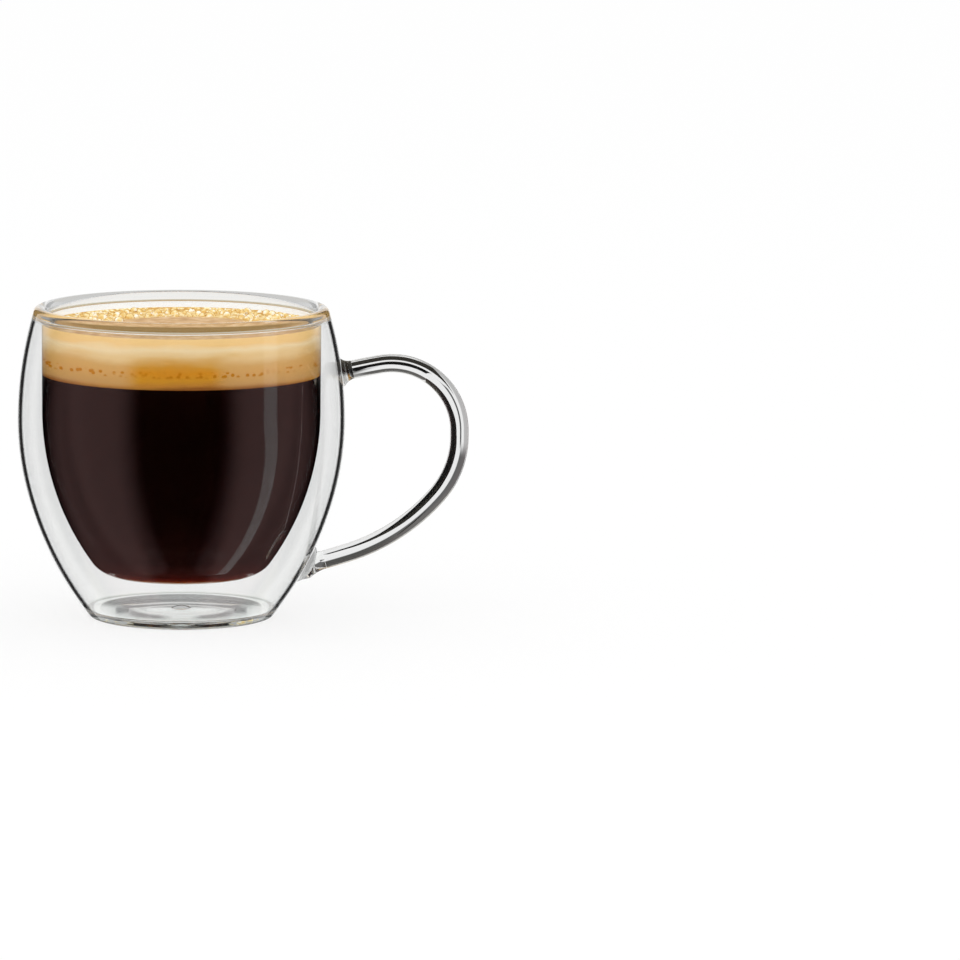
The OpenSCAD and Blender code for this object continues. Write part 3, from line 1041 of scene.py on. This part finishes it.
def bubble_material():
    """Thin bubbles: golden at the edge, pale in the middle, and near white in places, where the white is a
    painted highlight for their glints.
    """
    material, nodes = new_material("crema_bubble_film_and_glints")
    specks_and_glints = nodes.noise(nodes.place(), SPECKS_AND_GLINTS, 2.0)
    # The near white below is a painted highlight for the bubbles' glints
    pale_stops = ((0.36, srgb(226, 184, 104)), (0.5, srgb(246, 224, 160)), (0.62, srgb(255, 253, 240)))
    edge = nodes.add("ShaderNodeLayerWeight", {"Blend": 0.5}).outputs["Facing"]
    rim = nodes.step(edge, 0.6, 0.4)
    colour = nodes.mix(rim, nodes.ramp(specks_and_glints, pale_stops), solid_srgb(*BUBBLE_GOLD))
    nodes.principled({"Base Color": colour, "Roughness": 0.12, "Specular IOR Level": 0.6})
    return material


def photo_camera(scene):
    """Stands where the photograph was taken, with the cup's axis on its pixel."""
    lens = bpy.data.cameras.new("camera")
    lens.sensor_width = SENSOR
    lens.lens = LENS
    camera = bpy.data.objects.new("camera", lens)
    scene.collection.objects.link(camera)
    focal = LENS / SENSOR * IMAGE
    sight = AXIS_POINT - EYE
    level = math.hypot(sight.x, sight.y)
    yaw = math.atan((AXIS_PIXEL[0] - IMAGE / 2) / focal * sight.length / level)
    down = math.atan(-sight.z / (level * math.cos(yaw)))
    tilt = down + math.atan((IMAGE / 2 - AXIS_PIXEL[1]) / focal)
    upright = Euler((math.pi / 2 - tilt, 0, yaw)).to_quaternion()
    camera.location = EYE
    camera.rotation_euler = (Quaternion(sight, -LEAN) @ upright).to_euler()
    scene.camera = camera


def soft_lamp(scene):
    lamp = bpy.data.lights.new("soft_lamp", "AREA")
    lamp.size = LAMP_SIZE
    lamp.energy = LAMP_POWER
    light = bpy.data.objects.new("soft_lamp", lamp)
    light.location = LAMP_PLACE
    light.rotation_euler = (-Vector(LAMP_PLACE)).to_track_quat("-Z", "Y").to_euler()
    light.visible_glossy = False
    light.visible_transmission = False
    scene.collection.objects.link(light)


def shown_where(nodes, share, shader):
    """Ends a material with a shader that only shows where share is 1."""
    unseen = nodes.add("ShaderNodeBsdfTransparent")
    mixed = nodes.add("ShaderNodeMixShader", {0: share, 1: unseen.outputs[0], 2: shader.outputs[0]})
    nodes.add("ShaderNodeOutputMaterial", {"Surface": mixed.outputs[0]})


def floor_material():
    """Pale floor: white through glass, and to the eye white with a matt part that keeps the shadow."""
    material, nodes = new_material("pale_floor")
    path = nodes.path()
    through = nodes.math("MAXIMUM", path["Is Glossy Ray"], path["Is Transmission Ray"])
    share = nodes.math("MULTIPLY_ADD", path["Is Camera Ray"], FLOOR_WHITE, through)
    white = nodes.add("ShaderNodeEmission", {"Color": grey(1.0), "Strength": 1.0})
    matt = nodes.add("ShaderNodeBsdfDiffuse", {"Color": grey(0.85)})
    mixed = nodes.add("ShaderNodeMixShader", {0: share, 1: matt.outputs[0], 2: white.outputs[0]})
    shown_where(nodes, nodes.under(path["Glossy Depth"], BOUNCED), mixed)
    return material


def floors():
    """A wide floor that the glass looks past, and a small one under the cup that it shows."""
    pale = floor_material()
    deselect()
    bpy.ops.mesh.primitive_plane_add(size=FLOOR_SIZE, location=(0, 0, FLOOR_Z))
    wide = bpy.context.object
    wide.name = "floor"
    wide.visible_glossy = False
    wide.visible_transmission = False
    deselect()
    bpy.ops.mesh.primitive_circle_add(
        vertices=96, radius=NEAR_FLOOR_R, fill_type="NGON", location=(0, 0, NEAR_FLOOR_Z)
    )
    near_floor = bpy.context.object
    near_floor.name = "floor_under_cup"
    for ground in (wide, near_floor):
        ground.data.materials.append(pale)


def card_material():
    """Black, and seen only by light that has passed one solid piece of glass."""
    material, nodes = new_material("black_card")
    path = nodes.path()
    direct = nodes.under(path["Glossy Depth"], BOUNCED)
    single = nodes.under(path["Transmission Depth"], THROUGH_SOLID)
    black = nodes.add("ShaderNodeBsdfDiffuse", {"Color": grey(0.01)})
    shown_where(nodes, nodes.both(direct, single), black)
    return material


def hang(card, material):
    """Gives a card its material and hides it from all but light through glass."""
    card.data.materials.append(material)
    card.visible_camera = False
    card.visible_diffuse = False
    card.visible_glossy = False
    card.visible_shadow = False


def upright_card(name, distance, corners, material):
    first, *others = [(x * MM, z * MM) for x, z in corners]
    outline = Outline(name, *first)
    for corner in others:
        outline.line(*corner)
    bpy.ops.mesh.select_all(action="SELECT")
    bpy.ops.mesh.edge_face_add()
    bpy.ops.transform.translate(value=(0, distance * MM, 0))
    object_mode()
    hang(outline.piece, material)


def low_card(material):
    """A level card behind the handle, which darkens the upper side of its arch."""
    deselect()
    middle = (sum(LOW_CARD_X) / 2, sum(LOW_CARD_Y) / 2, LOW_CARD_Z)
    bpy.ops.mesh.primitive_plane_add(size=1, location=middle)
    card = bpy.context.object
    card.name = "low_card"
    edit_mode()
    size = (LOW_CARD_X[1] - LOW_CARD_X[0], LOW_CARD_Y[1] - LOW_CARD_Y[0], 1)
    bpy.ops.transform.resize(value=size)
    object_mode()
    hang(card, material)


def cards():
    black = card_material()
    for name, (distance, corners) in CARDS.items():
        upright_card(name, distance, corners, black)
    low_card(black)


class Sight:
    """Where light comes from, in degrees, and how the surroundings are parted by height."""

    def __init__(self, nodes):
        way = nodes.parts(nodes.add("ShaderNodeTexCoord").outputs["Generated"])
        self.side = nodes.math("DEGREES", nodes.math("ARCTAN2", way["X"], way["Y"]))
        self.rise = nodes.math("DEGREES", nodes.math("ARCSINE", way["Z"]))
        self.from_behind = nodes.math("ABSOLUTE", self.side)
        self.level = nodes.between(self.rise, *LEVEL)
        self.low_level = nodes.between(self.rise, *LOW_LEVEL)
        self.ceiling = nodes.step(self.rise, *CEILING_EDGE)


def wall_view(nodes, sight):
    """What thin walls show: white straight behind, black flags to either side of it, tan above."""
    off_axis = nodes.math("ABSOLUTE", nodes.math("WRAP", sight.side, FLAG_TURN / 2, -FLAG_TURN / 2))
    ahead = nodes.between(sight.side, *OPEN_SIDE)
    steep = nodes.rest(nodes.step(sight.rise, *OPEN_EDGE))
    zone = nodes.math("SUBTRACT", sight.level, nodes.both(ahead, steep), use_clamp=True)
    flags = nodes.both(nodes.step(off_axis, *FLAG_EDGE), zone)
    view = nodes.mix(flags, grey(1.0), grey(0.02))
    return nodes.mix(sight.ceiling, view, solid_srgb(*TAN_CEILING))


def solid_view(nodes, sight):
    """What the rod, the welds and the lip show, by how far and which way they bend the line of sight."""
    aside = nodes.math("SUBTRACT", SIGHT_SIDE, sight.side)
    above = nodes.math("SUBTRACT", sight.rise, SIGHT_RISE)
    squares = nodes.math("MULTIPLY_ADD", aside, aside, nodes.both(above, above))
    bend = nodes.math("SQRT", squares)
    way = nodes.math("DEGREES", nodes.math("ARCTAN2", above, aside))
    left = nodes.between(sight.side, *LEFT_SIDE)
    view = nodes.mix(nodes.both(left, 0.5), grey(0.9), grey(0.1))
    upper = nodes.step(way, *UP_LEFT_FROM)
    leftward = nodes.math("SUBTRACT", upper, nodes.step(way, *UP_LEFT_TO))
    up_left = nodes.both(leftward, nodes.between(bend, *UP_LEFT_BEND))
    shade = nodes.mix(nodes.step(way, *UP_LEFT_DARKER), grey(0.13), grey(0.07))
    view = nodes.mix(up_left, view, shade)
    line = nodes.both(nodes.between(way, *LINE_WAY), nodes.between(bend, *LINE_BEND))
    view = nodes.mix(line, view, grey(0.1))
    upward = nodes.both(nodes.between(way, *UP_WAY), nodes.between(bend, *UP_BEND))
    return nodes.mix(upward, view, grey(0.09))


def brown_boxes(nodes, sight):
    """Dim brown soft boxes to the left and right, in the dark."""
    from_front = nodes.math("SUBTRACT", 180.0, sight.from_behind)
    boxes = nodes.both(nodes.between(from_front, *SOFT_BOX), sight.low_level)
    return nodes.mix(boxes, grey(0.0), brown(0.3))


def outer_mirror(nodes, sight, boxes):
    """What outer surfaces mirror: bright behind, with dark flags in it, then the soft boxes."""
    beside = nodes.rest(nodes.step(sight.from_behind, *BESIDE_EDGE))
    flags = nodes.both(nodes.between(sight.from_behind, *NEAR_FLAG), sight.level)
    view = nodes.mix(beside, boxes, grey(0.95))
    return nodes.mix(flags, view, grey(0.02))


def inner_mirror(nodes, sight, boxes, path):
    """What inner surfaces mirror: white behind, the soft boxes and one leaning strip."""
    behind = nodes.both(nodes.under(sight.from_behind, BEHIND), sight.level)
    view = nodes.mix(behind, boxes, grey(0.95))
    lean = nodes.math("MULTIPLY_ADD", sight.rise, STRIP_LEAN, sight.side)
    once = nodes.under(path["Glossy Depth"], BOUNCED_TWICE)
    strip = nodes.both(nodes.between(lean, *STRIP), nodes.both(sight.low_level, once))
    return nodes.mix(strip, view, grey(1.2))


def mirror_view(nodes, sight, path):
    """What all surfaces mirror; light that stays long in the glass turns dark, and pale at its end."""
    boxes = brown_boxes(nodes, sight)
    inside = nodes.over(path["Transmission Depth"], THROUGH_WALL)
    outer = outer_mirror(nodes, sight, boxes)
    view = nodes.mix(inside, outer, inner_mirror(nodes, sight, boxes, path))
    view = nodes.mix(sight.ceiling, view, solid_srgb(*PALE_CEILING))
    trapped = nodes.over(path["Ray Depth"], TRAPPED - 0.5)
    view = nodes.mix(trapped, view, grey(0.6))
    often = nodes.over(path["Glossy Depth"], BOUNCED_OFTEN)
    return nodes.mix(nodes.math("SUBTRACT", often, trapped, use_clamp=True), view, grey(0.03))


def surroundings(scene):
    """White all round to the eye; flags and soft boxes to light through or off the glass."""
    world = bpy.data.worlds.new("studio")
    scene.world = world
    nodes = Nodes(world)
    path = nodes.path()
    sight = Sight(nodes)
    solid = nodes.under(path["Transmission Depth"], THROUGH_SOLID)
    shown = nodes.mix(solid, wall_view(nodes, sight), solid_view(nodes, sight))
    bounced = nodes.over(path["Glossy Depth"], BOUNCED)
    shown = nodes.mix(bounced, shown, mirror_view(nodes, sight, path))
    scattered = nodes.over(path["Diffuse Depth"], BOUNCED)
    shown = nodes.mix(scattered, shown, grey(SOFT_LIGHT))
    shown = nodes.mix(path["Is Camera Ray"], shown, grey(1.0))
    sky = nodes.add("ShaderNodeBackground", {"Color": shown, "Strength": 1.0})
    nodes.add("ShaderNodeOutputWorld", {"Surface": sky.outputs[0]})


def studio():
    scene = bpy.context.scene
    scene.view_settings.view_transform = "Standard"
    scene.cycles.max_bounces = BOUNCES
    scene.cycles.glossy_bounces = GLASS_BOUNCES
    scene.cycles.transmission_bounces = GLASS_BOUNCES
    scene.cycles.transparent_max_bounces = GLASS_BOUNCES
    scene.cycles.blur_glossy = 0
    photo_camera(scene)
    soft_lamp(scene)
    floors()
    cards()
    surroundings(scene)


def cup():
    """The nine pieces, each in its own kind of glass; the handle isn't mirrored in the walls."""
    fused = joint_material()
    wall_glass = glass_material("clear_wall_glass", WALL_CLEAR, 40.0, 0.02 * MM)
    worked_glass = glass_material("flame_worked_glass", WORKED_CLEAR, 90.0, 0.04 * MM)
    heel_glass = glass_material("thick_heel_glass_painted_shade", heel_tint_and_shade, 90.0, 0.04 * MM)
    base_glass = glass_material("thick_base_glass_painted_shade", base_tint_and_shade, 60.0, 0.04 * MM)
    seal_glass = glass_material("vent_seal_glass", SEAL_GREY, 90.0, 0.02 * MM, SEAL_IOR)
    weld_glass = glass_material("weld_glass_painted_shade", weld_painted_shade, 90.0, 0.04 * MM)
    rod_glass = glass_material("drawn_rod_glass", ROD_CLEAR, 60.0, 0.03 * MM)
    outer_shell(wall_glass, fused)
    inner_bowl(wall_glass, fused)
    rim_bead(worked_glass, fused)
    heel_bead(heel_glass, fused)
    base_disc(base_glass, fused)
    vent_seal(seal_glass, fused)
    handle_rod(rod_glass, fused).visible_glossy = False
    upper_weld(weld_glass, fused).visible_glossy = False
    lower_weld(worked_glass, fused).visible_glossy = False


def filling():
    coffee(coffee_material())
    crema(crema_material())
    bubbles(bubble_material())


studio()
cup()
filling()
